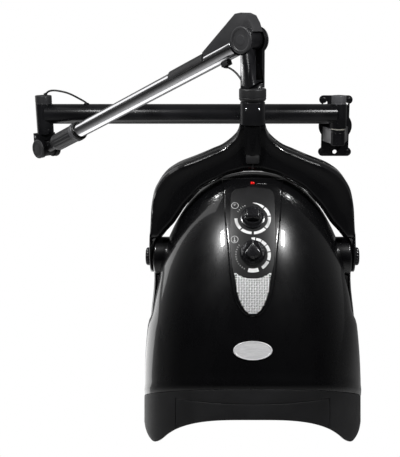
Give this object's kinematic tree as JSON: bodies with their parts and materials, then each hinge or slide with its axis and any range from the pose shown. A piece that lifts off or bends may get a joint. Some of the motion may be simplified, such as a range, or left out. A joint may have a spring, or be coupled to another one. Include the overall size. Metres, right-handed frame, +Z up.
{
  "type": "hood hair dryer",
  "caption": "Wall-mounted salon hood hair dryer on a swinging tube arm, a balanced lift arm and a yoke, with timer and heat dials on its front.",
  "frame": {"origin": "on the wall face of the wall plate, behind the swing arm's pivot and level with its tube's centre", "axes": "+Z up, +Y into the wall, +X to the right of a person facing the wall; the hood hangs on the -Y side"},
  "size_m": [0.664, 0.6185, 0.7294],
  "materials": {
    "black_paint": "satin black powder coat",
    "gloss_black": "high gloss black ABS",
    "matt_dark": "fine grained dark grey",
    "grey_plastic": "satin grey",
    "pivot_grey": "satin dark grey",
    "chrome": "polished",
    "zinc": "bright zinc plate",
    "sheet_steel": "galvanised sheet",
    "nylon": "natural nylon",
    "rubber": "black rubber",
    "mesh_silver": "woven wire",
    "badge_silver": "brushed plate",
    "lamp_red": "translucent red lens",
    "motor_case": "grey enamel",
    "fan_white": "moulded white",
    "element": "oxidised resistance wire sheath",
    "knob_black": "satin black",
    "panel_black": "satin charcoal overlay"
  },
  "bodies": {
    "bracket": {"wall_plate": "black_paint", "bracket_cheeks": "sheet_steel", "pivot_cup": "black_paint", "wall_shaft": "zinc", "wall_washer": "nylon"},
    "swing_arm": {"main_tube": "black_paint", "end_sleeves": "black_paint", "sleeve_bushes": "nylon", "wall_cap": "grey_plastic", "tube_grommet": "rubber", "arm_cable": "rubber"},
    "elbow": {"elbow_fork": "black_paint", "elbow_shaft": "zinc", "elbow_cap": "grey_plastic", "fork_screw": "zinc", "lower_pivot_pin": "zinc", "lower_pivot_caps": "pivot_grey"},
    "lift_arm": {"lift_knuckle": "black_paint", "lift_sleeve": "pivot_grey", "lift_ring": "grey_plastic", "lift_oring": "rubber", "chrome_tube": "chrome", "balance_spring": "zinc", "upper_knuckle": "black_paint", "tube_cover": "matt_dark", "upper_shroud": "pivot_grey", "cable_clip": "matt_dark", "head_cable": "rubber"},
    "head_post": {"head_fork": "black_paint", "upper_pivot_pin": "zinc", "upper_pivot_caps": "pivot_grey", "head_collar": "matt_dark", "head_spindle": "zinc"},
    "yoke": {"neck_socket": "black_paint", "neck_screws": "zinc", "yoke_spine": "gloss_black", "spine_plug": "matt_dark", "yoke_shell": "gloss_black", "yoke_cover": "gloss_black", "tilt_bolts": "zinc", "tilt_knobs": "knob_black"},
    "hood": {"outer_shell": "gloss_black", "side_lugs": "gloss_black", "skirt": "matt_dark", "front_lip": "matt_dark", "rim_ring": "matt_dark", "inner_bowl": "matt_dark", "heater_duct": "sheet_steel", "heater_element": "element", "fan_deck": "sheet_steel", "motor": "motor_case", "console": "panel_black", "mesh_grille": "mesh_silver", "badge": "badge_silver", "timer_body": "nylon", "thermostat": "nylon", "signal_lamp": "lamp_red"},
    "fan": {"fan_wheel": "fan_white"},
    "timer_dial": {"timer_knob": "knob_black"},
    "heat_dial": {"heat_knob": "knob_black"}
  },
  "joints": [
    {"name": "wall_swing", "type": "hinge", "parent": "bracket", "child": "swing_arm", "pos_m": [0, -0.057, 0], "axis": [0, 0, 1], "range_deg": [0, 150]},
    {"name": "elbow_swing", "type": "hinge", "parent": "swing_arm", "child": "elbow", "pos_m": [-0.6, -0.057, 0], "axis": [0, 0, 1], "range_deg": [-135, 5]},
    {"name": "lift", "type": "hinge", "parent": "elbow", "child": "lift_arm", "pos_m": [-0.6, -0.057, -0.07], "axis": [-0.6428, -0.766, 0], "range_deg": [-44, 6]},
    {"name": "head_level", "type": "hinge", "parent": "lift_arm", "child": "head_post", "pos_m": [-0.18094, -0.40863, 0.15102], "axis": [-0.6428, -0.766, 0], "range_deg": [-6, 44]},
    {"name": "hood_swivel", "type": "hinge", "parent": "head_post", "child": "yoke", "pos_m": [-0.17635, -0.41249, 0.04], "axis": [0, 0, 1], "range_deg": [-60, 60]},
    {"name": "hood_tilt", "type": "hinge", "parent": "yoke", "child": "hood", "pos_m": [-0.17635, -0.39649, -0.202], "axis": [1, 0, 0], "range_deg": [-15, 10]},
    {"name": "fan_spin", "type": "hinge", "parent": "hood", "child": "fan", "pos_m": [-0.17635, -0.38178, -0.20052], "axis": [0, 0.2588, 0.9659], "continuous": true},
    {"name": "timer_turn", "type": "hinge", "parent": "hood", "child": "timer_dial", "pos_m": [-0.17635, -0.48985, -0.11359], "axis": [0, -0.7232, 0.6906], "range_deg": [-270, 0]},
    {"name": "heat_turn", "type": "hinge", "parent": "hood", "child": "heat_dial", "pos_m": [-0.17635, -0.52563, -0.15887], "axis": [0, -0.8318, 0.5551], "range_deg": [-195, 0]}
  ],
  "couplings": [
    {"joint": "head_level", "follows": "lift", "ratio": -1}
  ]
}
